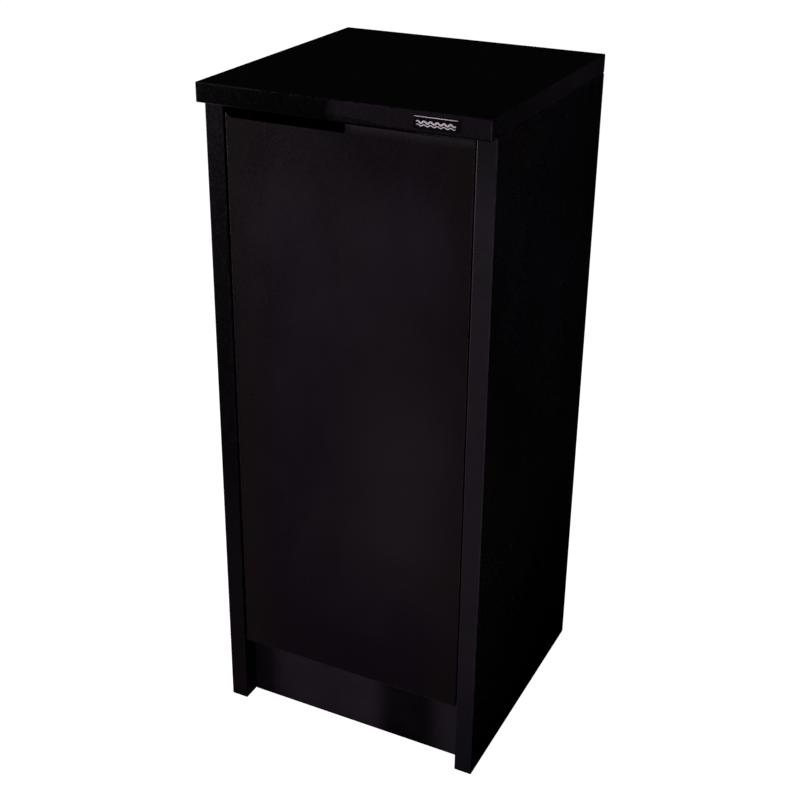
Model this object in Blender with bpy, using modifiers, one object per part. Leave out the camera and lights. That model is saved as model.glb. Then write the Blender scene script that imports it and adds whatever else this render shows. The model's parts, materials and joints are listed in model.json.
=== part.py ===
"""Aquarium stand cabinet: a narrow, tall flat-pack cabinet in black melamine board.

A thick top board overhangs the front. Two full-height side panels stand on the floor, and one inset door
hangs between them on two concealed cup hinges at its right edge. A finger notch in the left half of the
door's top edge opens it. Inside are a bottom shelf, an adjustable shelf on four pegs and a thin back panel
in grooves, with an outlet for hoses and one for leads. Cam locks and dowels hold the boards together.

Metres, +Z up. The origin is on the floor, at the middle of the cabinet's outer box. -Y is the front.
"""

import math

import bmesh
import bpy
from mathutils import Matrix, Vector

# ---------------------------------------------------------------- driving dimensions (metres)
WIDTH = 0.385
CARCASS_DEPTH = 0.371
TOP_OVERHANG = 0.019
HEIGHT = 0.920
BOARD = 0.025  # top board and side panels
SHELF_BOARD = 0.016  # bottom shelf, adjustable shelf and kickboard
BACK_BOARD = 0.003
FIT = 0.0003  # gap left between pieces that touch
EDGE_ROUND = 0.0010

KICK_SETBACK = 0.026
KICK_HEIGHT = 0.100
DECK_SETBACK = 0.023
GROOVE_FRONT = 0.3550  # from the carcass front
GROOVE_WIDTH = 0.0036
GROOVE_DEEP = 0.0080

DOOR_THICK = 0.018
DOOR_GAP_SIDE = 0.0025
DOOR_GAP_TOP = 0.0075
DOOR_RECESS = 0.002
DOOR_BOTTOM = 0.104
NOTCH_FLOOR = 0.876  # height of the finger notch's lower edge
NOTCH_RAMP = 0.011  # length of the curved left end

SHELF_PEG_Z = 0.476
PEG_PITCH = 0.032
PEG_ROWS = 4  # holes above and below the row in use
PEG_HOLE_R = 0.0025
COLUMN_FRONT = 0.060  # fitting columns, from the carcass front
COLUMN_REAR = 0.310

BADGE_SIZE = (0.0566, 0.0010, 0.0153)
BADGE_X = 0.1261
BADGE_PROUD = BADGE_SIZE[1] + FIT

CAM_R = 0.0072
CAM_BORE_R = 0.0075
CAM_LONG = 0.0122
CAM_BORE_DEEP = 0.0130
CAM_INSET = 0.0343  # from the face that the bolt stands on to the cam's centre
BOLT_AXIS_DEEP = 0.0080  # bolt axis below the face that the cam shows on

HINGE_HEIGHTS = {"lower": 0.204, "upper": 0.792}
CUP_EDGE = 0.003  # board left between the cup and the door's edge
CUP_R = 0.0175
CUP_DEEP = 0.0120
CUP_SCREW_IN = 0.0095
CUP_SCREW_HALF = 0.0225
PLATE_SCREW_V = 0.055  # mounting plate screws, back from the hinge axis
PLATE_SCREW_HALF = 0.016
DOOR_SWING_DEG = 100.0
OUTER_LINK_SHARE = 0.41  # of the door's angle
INNER_LINK_SHARE = 0.82

# ---------------------------------------------------------------- derived positions
INNER_X = WIDTH / 2 - BOARD
TOTAL_DEPTH = CARCASS_DEPTH + TOP_OVERHANG + BADGE_PROUD
REAR = TOTAL_DEPTH / 2
FRONT = REAR - CARCASS_DEPTH
TOP_UNDER = HEIGHT - BOARD
SIDE_TOP = TOP_UNDER - FIT
DECK_LOW = KICK_HEIGHT + FIT
DECK_HIGH = DECK_LOW + SHELF_BOARD
DOOR_HALF = INNER_X - DOOR_GAP_SIDE
DOOR_FRONT = FRONT + DOOR_RECESS
DOOR_TOP = TOP_UNDER - DOOR_GAP_TOP
SHELF_LOW = SHELF_PEG_Z + 0.003 + FIT
AXIS = Vector((DOOR_HALF, DOOR_FRONT, 0.0))  # the door's hinge axis, at its front right corner
CUP_U = -(CUP_EDGE + CUP_R)  # cup centre, along X from the hinge axis

# ---------------------------------------------------------------- scene, collections, materials
for old in list(bpy.data.objects):
    bpy.data.objects.remove(old, do_unlink=True)

scene = bpy.context.scene
PARTS = bpy.data.collections.new("aquarium_stand_cabinet")
CUTTERS = bpy.data.collections.new("cutters")
scene.collection.children.link(PARTS)
scene.collection.children.link(CUTTERS)


def material(name, color, roughness, metallic=0.0):
    made = bpy.data.materials.new(name)
    made.use_nodes = True
    shader = made.node_tree.nodes["Principled BSDF"]
    shader.inputs["Base Color"].default_value = (*color, 1.0)
    shader.inputs["Roughness"].default_value = roughness
    shader.inputs["Metallic"].default_value = metallic
    made.diffuse_color = (*color, 1.0)
    return made


BLACK_BOARD = material("black_melamine", (0.008, 0.007, 0.008), 0.34)
DOOR_BOARD = material("door_melamine", (0.012, 0.010, 0.013), 0.42)
HARDBOARD = material("black_hardboard", (0.015, 0.014, 0.015), 0.60)
STEEL = material("nickel_plated_steel", (0.62, 0.62, 0.60), 0.28, 1.0)
ZINC = material("zinc_casting", (0.50, 0.51, 0.52), 0.42, 1.0)
BEECH = material("beech_dowel", (0.62, 0.43, 0.25), 0.70)
PAD = material("bumper_pad", (0.55, 0.55, 0.53), 0.50)
BADGE = material("badge_metal", (0.05, 0.05, 0.055), 0.35, 0.6)


def empty(name, location):
    made = bpy.data.objects.new(name, None)
    made.empty_display_size = 0.03
    made.location = location
    PARTS.objects.link(made)
    return made


DOOR_AXIS = empty("door_axis", AXIS)
OUTER_LINK_AXIS = empty("outer_link_axis", AXIS)
INNER_LINK_AXIS = empty("inner_link_axis", AXIS)


# ---------------------------------------------------------------- shape helpers
def to_mesh(name, bm):
    bmesh.ops.recalc_face_normals(bm, faces=bm.faces)
    mesh = bpy.data.meshes.new(name)
    bm.to_mesh(mesh)
    bm.free()
    return mesh


def place(name, data, mat, location=(0, 0, 0), turn=None, parent=None, into=PARTS):
    """An object of this mesh or curve; turn is a 3x3 matrix, and location is in world axes from the parent."""
    made = bpy.data.objects.new(name, data)
    made.location = location
    if turn is not None:
        made.rotation_euler = turn.to_euler()
    made.parent = parent
    if mat is not None:
        data.materials.clear()
        data.materials.append(mat)
    into.objects.link(made)
    return made


def facing(z_dir, x_dir):
    """The rotation that takes local +Z and +X to these two directions."""
    z = Vector(z_dir).normalized()
    x = Vector(x_dir).normalized()
    y = z.cross(x)
    return Matrix((x, y, z)).transposed()


def add_box(bm, low, high):
    low, high = Vector(low), Vector(high)
    size = high - low
    matrix = Matrix.Translation((low + high) / 2) @ Matrix.Diagonal((*size, 1.0))
    bmesh.ops.create_cube(bm, size=1.0, matrix=matrix)


def add_cylinder(bm, start, end, radius, segments=16):
    start, end = Vector(start), Vector(end)
    axis = end - start
    turn = axis.to_track_quat("Z", "Y").to_matrix().to_4x4()
    bmesh.ops.create_cone(
        bm,
        cap_ends=True,
        cap_tris=False,
        segments=segments,
        radius1=radius,
        radius2=radius,
        depth=axis.length,
        matrix=Matrix.Translation((start + end) / 2) @ turn,
    )


def rounded(obj, width, segments=2):
    bevel = obj.modifiers.new("edge_round", "BEVEL")
    bevel.width = width
    bevel.segments = segments
    bevel.limit_method = "ANGLE"
    bevel.angle_limit = math.radians(40)


def board(name, low, high, mat, parent=None, edge=EDGE_ROUND, segments=2):
    """A board with its origin at its middle, and slightly rounded edges."""
    low, high = Vector(low), Vector(high)
    bm = bmesh.new()
    add_box(bm, (low - high) / 2, (high - low) / 2)
    base = parent.location if parent else Vector()
    made = place(name, to_mesh(name, bm), mat, (low + high) / 2 - base, parent=parent)
    rounded(made, edge, segments)
    return made


def cut(obj, name, bm, parent=None):
    """Cuts the shapes in bm, which are in world axes and stay clear of each other, out of the object."""
    base = parent.location if parent else Vector()
    tool = place("cut_" + name, to_mesh("cut_" + name, bm), None, -base, parent=parent, into=CUTTERS)
    tool.hide_render = True
    tool.display_type = "WIRE"
    boolean = obj.modifiers.new("cut_" + name, "BOOLEAN")
    boolean.operation = "DIFFERENCE"
    boolean.solver = "EXACT"
    boolean.object = tool


def lathe(points, steps):
    """The mesh of a profile of (radius, height) points turned about Z; the profile ends on the axis."""
    bm = bmesh.new()
    made = [bm.verts.new((r, 0, h)) for r, h in points]
    for a, b in zip(made, made[1:]):
        bm.edges.new((a, b))
    mesh = bpy.data.meshes.new("profile")
    bm.to_mesh(mesh)
    bm.free()
    obj = bpy.data.objects.new("profile", mesh)
    CUTTERS.objects.link(obj)
    turn = obj.modifiers.new("turn", "SCREW")
    turn.axis = "Z"
    turn.angle = math.tau
    turn.steps = turn.render_steps = steps
    turn.use_merge_vertices = True
    turn.merge_threshold = 0.00001
    return finished(obj)


def finished(obj):
    """The object's mesh with its modifiers applied; the object itself goes."""
    bpy.context.view_layer.update()
    graph = bpy.context.evaluated_depsgraph_get()
    mesh = bpy.data.meshes.new_from_object(obj.evaluated_get(graph))
    bm = bmesh.new()
    bm.from_mesh(mesh)
    bmesh.ops.remove_doubles(bm, verts=bm.verts, dist=0.000005)
    bmesh.ops.recalc_face_normals(bm, faces=bm.faces)
    bm.to_mesh(mesh)
    bm.free()
    bpy.data.objects.remove(obj, do_unlink=True)
    return mesh


def flat_outline(outlines, half_thickness):
    """A curve of closed outlines in XY, the later ones being holes, filled and extruded both ways along Z."""
    curve = bpy.data.curves.new("outline", "CURVE")
    curve.dimensions = "2D"
    curve.fill_mode = "BOTH"
    curve.extrude = half_thickness
    for outline in outlines:
        spline = curve.splines.new("POLY")
        spline.points.add(len(outline) - 1)
        for point, (x, y) in zip(spline.points, outline):
            point.co = (x, y, 0, 1)
        spline.use_cyclic_u = True
    return curve


def outline_mesh(outlines, half_thickness):
    obj = bpy.data.objects.new("outline", flat_outline(outlines, half_thickness))
    CUTTERS.objects.link(obj)
    return finished(obj)


def combined(base, operations):
    """The base mesh after Booleans with other meshes: [(operation, mesh, location), ...], all in one local frame."""
    obj = bpy.data.objects.new("base", base)
    CUTTERS.objects.link(obj)
    tools = []
    for operation, mesh, location in operations:
        tool = bpy.data.objects.new("tool", mesh)
        tool.location = location
        CUTTERS.objects.link(tool)
        tools.append(tool)
        boolean = obj.modifiers.new("join", "BOOLEAN")
        boolean.operation = operation
        boolean.solver = "EXACT"
        boolean.object = tool
    mesh = finished(obj)
    for tool in tools:
        bpy.data.objects.remove(tool, do_unlink=True)
    return mesh


def arc(radius, start_deg, end_deg, steps, centre=(0.0, 0.0)):
    points = []
    for i in range(steps + 1):
        a = math.radians(start_deg + (end_deg - start_deg) * i / steps)
        points.append((centre[0] + radius * math.cos(a), centre[1] + radius * math.sin(a)))
    return points


def rounded_rectangle(x0, x1, y0, y1, radius, steps=4):
    return (
        arc(radius, 0, 90, steps, (x1 - radius, y1 - radius))
        + arc(radius, 90, 180, steps, (x0 + radius, y1 - radius))
        + arc(radius, 180, 270, steps, (x0 + radius, y0 + radius))
        + arc(radius, 270, 360, steps, (x1 - radius, y0 + radius))
    )


def smooth(mesh, degrees=35):
    mesh.shade_smooth()
    mesh.set_sharp_from_angle(angle=math.radians(degrees))
    return mesh


def cross_cutter(long, wide, deep):
    """A plus-shaped prism with tapered arms that reaches from deep below Z = 0 to above it."""
    a, b, c = wide / 2, long / 2, wide * 0.38
    points = [(b, c), (a, a), (c, b), (-c, b), (-a, a), (-b, c), (-b, -c), (-a, -a), (-c, -b), (c, -b), (a, -a), (b, -c)]
    return outline_mesh([points], deep)


# ---------------------------------------------------------------- boards of the carcass
top = board(
    "top_panel",
    (-WIDTH / 2, FRONT - TOP_OVERHANG, TOP_UNDER),
    (WIDTH / 2, REAR, HEIGHT),
    BLACK_BOARD,
    edge=0.0015,
    segments=3,
)
holes = bmesh.new()
for side in (-1, 1):
    for y in (COLUMN_FRONT, COLUMN_REAR):
        x = side * (INNER_X + BOLT_AXIS_DEEP)
        add_cylinder(holes, (x, FRONT + y, TOP_UNDER - 0.002), (x, FRONT + y, TOP_UNDER + 0.012), 0.0028, 10)
cut(top, "top_bolt_holes", holes)

DECK_FITTINGS = (0.070, 0.300)
CAM_LIST = []  # (label, cam centre on the face it shows on, face direction, direction towards the bolt's foot)
for label, side in (("left", -1), ("right", 1)):
    panel = board(
        label + "_side_panel",
        (min(side * INNER_X, side * WIDTH / 2), FRONT, 0.0),
        (max(side * INNER_X, side * WIDTH / 2), REAR, SIDE_TOP),
        BLACK_BOARD,
    )
    face = side * INNER_X
    # Groove for the back panel, over the panel's whole height.
    groove = bmesh.new()
    add_box(
        groove,
        (min(face - side * 0.002, face + side * GROOVE_DEEP), FRONT + GROOVE_FRONT, -0.002),
        (max(face - side * 0.002, face + side * GROOVE_DEEP), FRONT + GROOVE_FRONT + GROOVE_WIDTH, HEIGHT),
    )
    cut(panel, label + "_groove", groove)
    # Cam bores at the top, shelf peg holes, and the holes that the bottom shelf, kickboard and hinges use.
    bores = bmesh.new()
    for y in (COLUMN_FRONT, COLUMN_REAR):
        z = TOP_UNDER - CAM_INSET
        add_cylinder(bores, (face - side * 0.002, FRONT + y, z), (face + side * CAM_BORE_DEEP, FRONT + y, z), CAM_BORE_R, 24)
        CAM_LIST.append(
            (
                "top_%s_%s" % ("front" if y == COLUMN_FRONT else "rear", label),
                Vector((face, FRONT + y, z)),
                Vector((-side, 0, 0)),
                Vector((0, 0, 1)),
            )
        )
        for row in range(-PEG_ROWS, PEG_ROWS + 1):
            z = SHELF_PEG_Z + row * PEG_PITCH
            add_cylinder(bores, (face - side * 0.002, FRONT + y, z), (face + side * 0.0092, FRONT + y, z), PEG_HOLE_R, 10)
    for y in DECK_FITTINGS:
        z = DECK_LOW + BOLT_AXIS_DEEP
        add_cylinder(bores, (face - side * 0.002, FRONT + y, z), (face + side * 0.012, FRONT + y, z), 0.0028, 10)
        CAM_LIST.append(
            (
                "shelf_%s_%s" % ("front" if y == DECK_FITTINGS[0] else "rear", label),
                Vector((face - side * CAM_INSET, FRONT + y, DECK_LOW)),
                Vector((0, 0, -1)),
                Vector((side, 0, 0)),
            )
        )
    y = FRONT + KICK_SETBACK + SHELF_BOARD - BOLT_AXIS_DEEP
    add_cylinder(bores, (face - side * 0.002, y, 0.050), (face + side * 0.012, y, 0.050), 0.0028, 10)
    add_cylinder(bores, (face - side * 0.002, y, 0.080), (face + side * 0.0125, y, 0.080), 0.0043, 10)
    CAM_LIST.append(
        (
            "kick_" + label,
            Vector((face - side * CAM_INSET, FRONT + KICK_SETBACK + SHELF_BOARD, 0.050)),
            Vector((0, 1, 0)),
            Vector((side, 0, 0)),
        )
    )
    if side > 0:
        for height in HINGE_HEIGHTS.values():
            for z in (height - PLATE_SCREW_HALF, height + PLATE_SCREW_HALF):
                y = AXIS.y + PLATE_SCREW_V
                add_cylinder(bores, (face - 0.002, y, z), (face + 0.0145, y, z), 0.0026, 10)
    cut(panel, label + "_bores", bores)
    # Long bores for the top's bolts, from the panel's upper end down into the cam bores.
    shafts = bmesh.new()
    for y in (COLUMN_FRONT, COLUMN_REAR):
        x = face + side * BOLT_AXIS_DEEP
        add_cylinder(shafts, (x, FRONT + y, TOP_UNDER - CAM_INSET), (x, FRONT + y, TOP_UNDER + 0.002), 0.0040, 12)
    cut(panel, label + "_bolt_shafts", shafts)

deck = board(
    "bottom_shelf",
    (-INNER_X + FIT, FRONT + DECK_SETBACK, DECK_LOW),
    (INNER_X - FIT, FRONT + GROOVE_FRONT - FIT, DECK_HIGH),
    BLACK_BOARD,
)
kick = board(
    "kickboard",
    (-INNER_X + FIT, FRONT + KICK_SETBACK, 0.0),
    (INNER_X - FIT, FRONT + KICK_SETBACK + SHELF_BOARD, KICK_HEIGHT),
    BLACK_BOARD,
)
for target, key in ((deck, "shelf"), (kick, "kick")):
    bores, shafts = bmesh.new(), bmesh.new()
    for label, centre, face_dir, bolt_dir in CAM_LIST:
        if not label.startswith(key):
            continue
        add_cylinder(bores, centre + face_dir * 0.002, centre - face_dir * CAM_BORE_DEEP, CAM_BORE_R, 24)
        middle = centre - face_dir * BOLT_AXIS_DEEP
        add_cylinder(shafts, middle, middle + bolt_dir * (CAM_INSET + 0.002), 0.0040, 12)
        if key == "kick":
            foot = Vector((middle.x, middle.y, 0.080)) + bolt_dir * CAM_INSET
            add_cylinder(shafts, foot - bolt_dir * 0.0155, foot + bolt_dir * 0.002, 0.0043, 10)
    cut(target, key + "_cam_bores", bores)
    cut(target, key + "_bolt_shafts", shafts)

shelf = board(
    "adjustable_shelf",
    (-INNER_X + 0.0015, FRONT + 0.030, SHELF_LOW),
    (INNER_X - 0.0015, FRONT + 0.350, SHELF_LOW + SHELF_BOARD),
    BLACK_BOARD,
)

# Back panel: a sheet in the side panels' grooves, with an outlet for hoses and one for leads.
back_half = INNER_X + GROOVE_DEEP - 0.001
back_outline = [
    [(-back_half, DECK_LOW), (back_half, DECK_LOW), (back_half, SIDE_TOP), (-back_half, SIDE_TOP)],
    rounded_rectangle(-0.070, 0.070, 0.790, 0.850, 0.030, 6),
    rounded_rectangle(0.080, 0.140, 0.150, 0.190, 0.020, 6),
]
back = place(
    "back_panel",
    flat_outline(back_outline, BACK_BOARD / 2),
    HARDBOARD,
    (0, FRONT + GROOVE_FRONT + GROOVE_WIDTH / 2, 0),
    facing((0, -1, 0), (1, 0, 0)),
)

# ---------------------------------------------------------------- door
door = board(
    "door",
    (-DOOR_HALF, DOOR_FRONT, DOOR_BOTTOM),
    (DOOR_HALF, DOOR_FRONT + DOOR_THICK, DOOR_TOP),
    DOOR_BOARD,
    parent=DOOR_AXIS,
    edge=0.0012,
    segments=2,
)
# Finger notch: flat over the left half of the top edge, curving up to the left edge, square at the middle.
notch = [(-DOOR_HALF - 0.004, DOOR_TOP + 0.004), (-DOOR_HALF - 0.004, NOTCH_FLOOR + 0.0085)]
for i in range(9):
    t = i / 8
    notch.append((-DOOR_HALF + NOTCH_RAMP * t, NOTCH_FLOOR + 0.0072 * (1 - t) ** 2.2))
notch += arc(0.0020, 270, 360, 4, (-0.0020, NOTCH_FLOOR + 0.0020))
notch += [(0.0, DOOR_TOP + 0.004)]
notch_tool = place(
    "cut_finger_notch",
    outline_mesh([notch], DOOR_THICK),
    None,
    Vector((0, DOOR_FRONT + DOOR_THICK / 2, 0)) - AXIS,
    facing((0, -1, 0), (1, 0, 0)),
    DOOR_AXIS,
    CUTTERS,
)
notch_tool.hide_render = True
notch_tool.display_type = "WIRE"
boolean = door.modifiers.new("finger_notch", "BOOLEAN")
boolean.operation = "DIFFERENCE"
boolean.solver = "EXACT"
boolean.object = notch_tool

bores = bmesh.new()
door_back = DOOR_FRONT + DOOR_THICK
for height in HINGE_HEIGHTS.values():
    x = AXIS.x + CUP_U
    add_cylinder(bores, (x, door_back - CUP_DEEP, height), (x, door_back + 0.002, height), CUP_R + FIT, 32)
    for dz in (-CUP_SCREW_HALF, CUP_SCREW_HALF):
        at = (x - CUP_SCREW_IN, height + dz)
        add_cylinder(bores, (at[0], door_back - 0.0105, at[1]), (at[0], door_back + 0.002, at[1]), 0.0021, 10)
cut(door, "hinge_bores", bores, DOOR_AXIS)

# ---------------------------------------------------------------- badge and bumper pads
badge_mesh = outline_mesh(
    [rounded_rectangle(-BADGE_SIZE[0] / 2, BADGE_SIZE[0] / 2, -BADGE_SIZE[2] / 2, BADGE_SIZE[2] / 2, 0.0016, 3)],
    BADGE_SIZE[1] / 2,
)
badge = place(
    "badge_plate",
    badge_mesh,
    BADGE,
    (BADGE_X, FRONT - TOP_OVERHANG - FIT - BADGE_SIZE[1] / 2, (TOP_UNDER + HEIGHT) / 2),
    facing((0, -1, 0), (1, 0, 0)),
)
rounded(badge, 0.0002, 1)

pad_mesh = smooth(lathe([(0, 0.0024), (0.0022, 0.0022), (0.0032, 0.0014), (0.0035, 0), (0, 0)], 16))
for label, x in (("left", -0.150), ("right", 0.100)):
    place(
        "door_bumper_" + label,
        pad_mesh,
        PAD,
        (x, FRONT + DECK_SETBACK - FIT, DECK_LOW + SHELF_BOARD / 2),
        facing((0, -1, 0), (1, 0, 0)),
    )

# ---------------------------------------------------------------- shelf pegs
peg_mesh = smooth(
    lathe(
        [(0, 0.0095), (0.0024, 0.0095), (0.0030, 0.0089), (0.0030, 0.0012), (0.0042, 0.0012), (0.0042, FIT), (0.0022, FIT), (0.0022, -0.0080), (0.0016, -0.0086), (0, -0.0086)],
        12,
    )
)
for label, side in (("left", -1), ("right", 1)):
    for where, y in (("front", COLUMN_FRONT), ("rear", COLUMN_REAR)):
        place(
            "shelf_peg_%s_%s" % (where, label),
            peg_mesh,
            STEEL,
            (side * INNER_X, FRONT + y, SHELF_PEG_Z),
            facing((-side, 0, 0), (0, 1, 0)),
        )

# ---------------------------------------------------------------- cam locks, bolts and dowels
cam_body = bmesh.new()
add_cylinder(cam_body, (0, 0, -CAM_LONG), (0, 0, -0.0002), CAM_R, 24)
slot = bmesh.new()
add_box(slot, (-0.0015, -0.0034, -0.0140), (0.0090, 0.0034, -0.0042))
cam_mesh = smooth(
    combined(
        to_mesh("cam", cam_body),
        [
            ("DIFFERENCE", to_mesh("slot", slot), (0, 0, 0)),
            ("DIFFERENCE", cross_cutter(0.0080, 0.0016, 0.0020), (0, 0, -0.0002)),
        ],
    )
)
bolt_mesh = smooth(
    lathe(
        [(0, 0.0335), (0.0022, 0.0333), (0.0030, 0.0315), (0.0019, 0.0297), (0.0019, 0.0272), (0.0030, 0.0262), (0.0030, 0.0014), (0.0036, 0.0014), (0.0036, FIT), (0.0024, FIT), (0.0024, -0.0095), (0, -0.0108)],
        10,
    )
)
for label, centre, face_dir, bolt_dir in CAM_LIST:
    place("cam_lock_" + label, cam_mesh, ZINC, centre, facing(face_dir, bolt_dir))
    foot = centre - face_dir * BOLT_AXIS_DEEP + bolt_dir * CAM_INSET
    place("cam_bolt_" + label, bolt_mesh, STEEL, foot, facing(-bolt_dir, face_dir))
dowel_mesh = smooth(
    lathe([(0, 0.0148), (0.0032, 0.0148), (0.0039, 0.0141), (0.0039, -0.0113), (0.0032, -0.0120), (0, -0.0120)], 12)
)
for label, side in (("left", -1), ("right", 1)):
    place(
        "kick_dowel_" + label,
        dowel_mesh,
        BEECH,
        (side * INNER_X, FRONT + KICK_SETBACK + SHELF_BOARD - BOLT_AXIS_DEEP, 0.080),
        facing((-side, 0, 0), (0, 1, 0)),
    )

# ---------------------------------------------------------------- concealed hinges
# Local frame of the flat hinge parts: X and Y as in the world, measured from the hinge axis, Z the hinge's middle.
mm = 0.001
# Cup: turned shell with a wing for its two screws; local Z points out of its mouth, Y up the wing.
cup_outer = lathe([(0, 0.0132), (0.0183, 0.0132), (0.0186, 0.0129), (0.0186, 0.0120), (0.0175, 0.0120), (0.0175, 0.0008), (0.0167, 0), (0, 0)], 32)
cup_hollow = lathe([(0, 0.0150), (0.0163, 0.0150), (0.0163, 0.0022), (0.0153, 0.0012), (0, 0.0012)], 32)
cup_wing = outline_mesh([rounded_rectangle(-0.0155, -0.0035, -0.0285, 0.0285, 0.0055, 4)], 0.0006)
wing_holes = bmesh.new()
for dy in (-CUP_SCREW_HALF, CUP_SCREW_HALF):
    add_cylinder(wing_holes, (-CUP_SCREW_IN, dy, 0.010), (-CUP_SCREW_IN, dy, 0.016), 0.0022, 12)
cup_mesh = smooth(
    combined(
        cup_outer,
        [
            ("UNION", cup_wing, (0, 0, 0.0126)),
            ("DIFFERENCE", cup_hollow, (0, 0, 0)),
            ("DIFFERENCE", to_mesh("wing_holes", wing_holes), (0, 0, 0)),
        ],
    )
)

# Arm: a channel along the side panel that bends round the hinge axis into the cup.
ARM_IN, ARM_OUT, ARM_END = 21.8 * mm, 29.0 * mm, 146
ARM_BACK, ARM_WEB, ARM_OPEN = 67 * mm, -9.5 * mm, -1.0 * mm
arm_mid, arm_half = (ARM_IN + ARM_OUT) / 2, (ARM_OUT - ARM_IN) / 2
arm_tip = (arm_mid * math.cos(math.radians(ARM_END)), arm_mid * math.sin(math.radians(ARM_END)))
arm_outline = (
    arc(ARM_IN, ARM_END, math.degrees(math.acos(ARM_OPEN / ARM_IN)), 10)
    + [(ARM_OPEN, ARM_BACK - 2 * mm), (ARM_OPEN - 2 * mm, ARM_BACK), (ARM_WEB + 2 * mm, ARM_BACK), (ARM_WEB, ARM_BACK - 2 * mm)]
    + [(ARM_WEB, math.sqrt(ARM_OUT**2 - ARM_WEB**2) + 4 * mm), (ARM_WEB - 0.7 * mm, math.sqrt(ARM_OUT**2 - ARM_WEB**2) + 0.9 * mm)]
    + arc(ARM_OUT, math.degrees(math.acos(ARM_WEB / ARM_OUT)) + 4, ARM_END, 8)
    + arc(arm_half, ARM_END, ARM_END + 180, 6, arm_tip)[1:-1]
)
pocket_r = ARM_OUT - 1.5 * mm
pocket_x = ARM_WEB + 1.5 * mm
arm_pocket = (
    [(10 * mm, 5 * mm), (10 * mm, 80 * mm), (pocket_x, 80 * mm)]
    + arc(pocket_r, math.degrees(math.acos(pocket_x / pocket_r)), 168, 14)
    + [(-12 * mm, 2 * mm)]
)
arm_holes = bmesh.new()
for y in (44 * mm, 59 * mm):
    add_cylinder(arm_holes, (ARM_WEB - 3 * mm, y, 0), (ARM_WEB + 3 * mm, y, 0), 2.4 * mm, 10)
arm_mesh = smooth(
    combined(
        outline_mesh([arm_outline], 9.2 * mm),
        [
            ("DIFFERENCE", outline_mesh([arm_pocket], 7.3 * mm), (0, 0, 0)),
            ("DIFFERENCE", to_mesh("arm_holes", arm_holes), (0, 0, 0)),
        ],
    )
)


def link(inner, outer, start, end, half, web, cheek):
    """A curved link about the hinge axis, with round ends: two cheeks joined by a web on the outer side."""
    mid, end_r = (inner + outer) / 2, (outer - inner) / 2
    tip = (mid * math.cos(math.radians(end)), mid * math.sin(math.radians(end)))
    tail = (mid * math.cos(math.radians(start)), mid * math.sin(math.radians(start)))
    outline = (
        arc(outer, start, end, 10)
        + arc(end_r, end, end + 180, 6, tip)[1:-1]
        + arc(inner, end, start, 10)
        + arc(end_r, start + 180, start + 360, 6, tail)[1:-1]
    )
    hollow = arc(outer - web, start - 30, end + 30, 20) + [(-4 * mm, 2 * mm)]
    return smooth(
        combined(
            outline_mesh([outline], half),
            [("DIFFERENCE", outline_mesh([hollow], half - cheek), (0, 0, 0))],
        )
    )


outer_link_mesh = link(21.5 * mm, 27.2 * mm, 106, 150.5, 6.9 * mm, 1.5 * mm, 2.0 * mm)
inner_link_mesh = link(21.5 * mm, 25.4 * mm, 109, 153, 4.6 * mm, 1.4 * mm, 1.6 * mm)

# Mounting plate: a wing with two screws into the side panel, and a boss that the arm sits over.
plate_face = INNER_X - AXIS.x  # side panel's inner face, from the hinge axis
wing = bmesh.new()
add_box(wing, (plate_face - FIT - 2 * mm, 49 * mm, -30 * mm), (plate_face - FIT, 61 * mm, 30 * mm))
boss = bmesh.new()
add_box(boss, (ARM_WEB + 1.9 * mm, 38 * mm, -7.0 * mm), (plate_face - FIT, 65 * mm, 7.0 * mm))
plate_holes = bmesh.new()
for z in (-PLATE_SCREW_HALF, PLATE_SCREW_HALF):
    add_cylinder(plate_holes, (plate_face - 4 * mm, PLATE_SCREW_V, z), (plate_face + 1 * mm, PLATE_SCREW_V, z), 2.6 * mm, 10)
for y in (44 * mm, 59 * mm):
    add_cylinder(plate_holes, (ARM_WEB, y, 0), (-0.8 * mm, y, 0), 2.4 * mm, 10)
plate_obj = bpy.data.objects.new("wing", to_mesh("wing", wing))
CUTTERS.objects.link(plate_obj)
rounded(plate_obj, 3 * mm, 3)
plate_obj.modifiers["edge_round"].affect = "EDGES"
plate_obj.modifiers["edge_round"].limit_method = "WEIGHT"
edges = plate_obj.data
weights = edges.attributes.new("bevel_weight_edge", "FLOAT", "EDGE")
for edge in edges.edges:
    a, b = (edges.vertices[i].co for i in edge.vertices)
    weights.data[edge.index].value = 1.0 if abs(a.x - b.x) > 1e-4 else 0.0
plate_mesh = combined(
    finished(plate_obj),
    [
        ("UNION", to_mesh("boss", boss), (0, 0, 0)),
        ("DIFFERENCE", to_mesh("plate_holes", plate_holes), (0, 0, 0)),
    ],
)


def screw(head_r, head_h, shank_r, long, steps=10):
    """A pan head screw: the head's underside is at Z = 0 and the shank goes down to a point."""
    turned = lathe(
        [
            (0, head_h),
            (head_r * 0.62, head_h * 0.90),
            (head_r * 0.92, head_h * 0.50),
            (head_r, 0),
            (shank_r, 0),
            (shank_r, -long + shank_r * 1.6),
            (0, -long),
        ],
        steps,
    )
    cross = cross_cutter(head_r * 1.15, head_r * 0.26, head_h * 0.62)
    return smooth(combined(turned, [("DIFFERENCE", cross, (0, 0, head_h))]))


cup_screw = screw(3.4 * mm, 1.8 * mm, 1.75 * mm, 11.0 * mm)
plate_screw = screw(3.9 * mm, 2.2 * mm, 2.25 * mm, 15.5 * mm)
arm_screw = screw(3.4 * mm, 1.8 * mm, 2.0 * mm, 8.0 * mm)

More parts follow.
